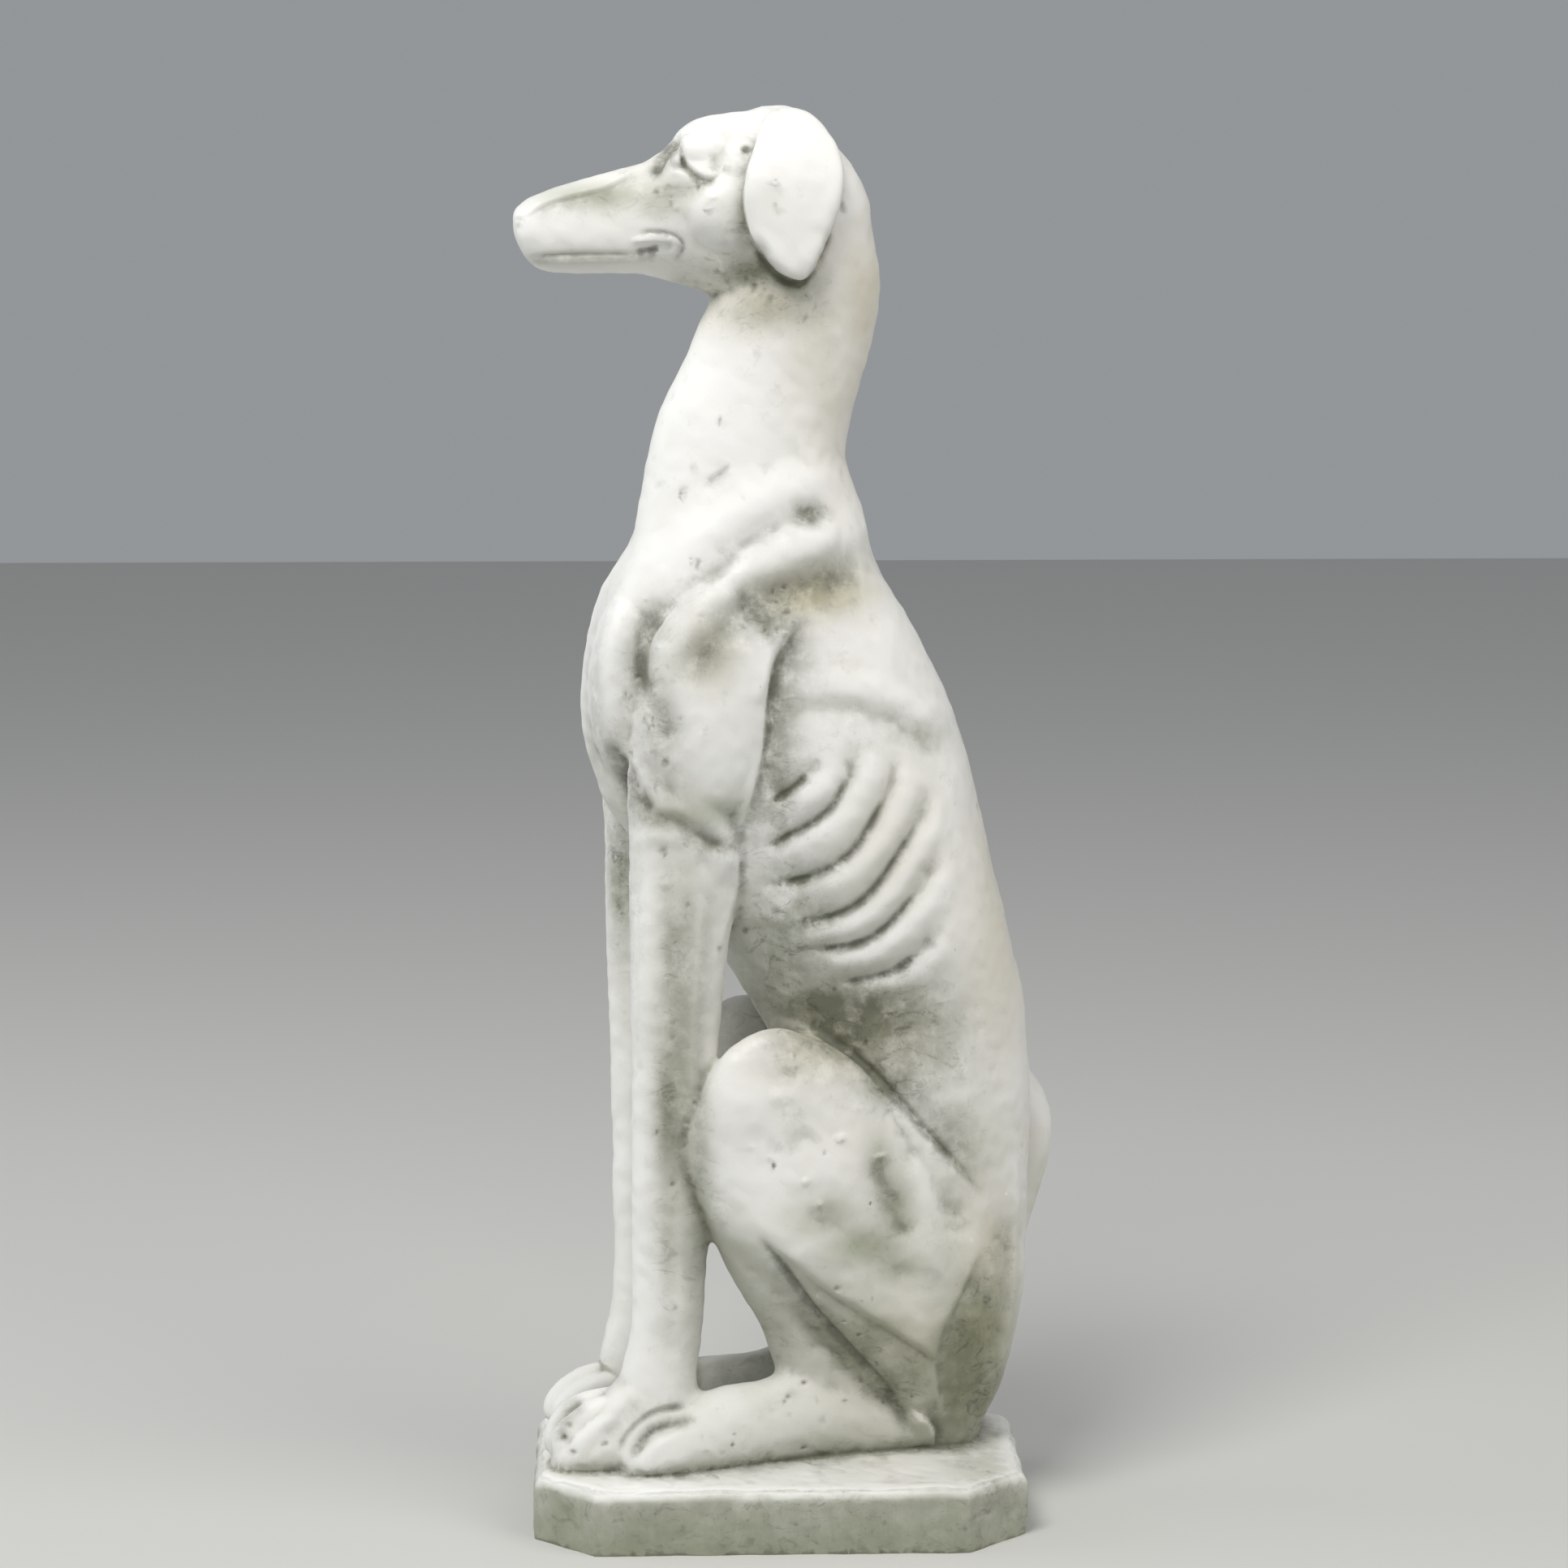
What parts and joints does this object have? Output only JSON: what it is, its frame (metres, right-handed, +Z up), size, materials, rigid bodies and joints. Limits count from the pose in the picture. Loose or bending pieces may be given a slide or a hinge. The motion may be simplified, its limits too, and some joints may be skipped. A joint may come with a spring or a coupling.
{
  "type": "dog garden statue",
  "caption": "Sitting greyhound on a low plinth with cut corners, cast in pale stone as one piece, standing by its own weight.",
  "frame": {"origin": "middle of the plinth's flat underside", "axes": "+Z up to the top of the head, -X the way the dog looks, -Y toward the dog's left side, which the picture shows"},
  "size_m": [0.3012, 0.186, 0.7803],
  "materials": {
    "cast_stone": "matte off-white cast stone with grey and tan weathering in its hollows"
  },
  "bodies": {
    "root": {"sitting_greyhound": "cast_stone"}
  },
  "joints": []
}
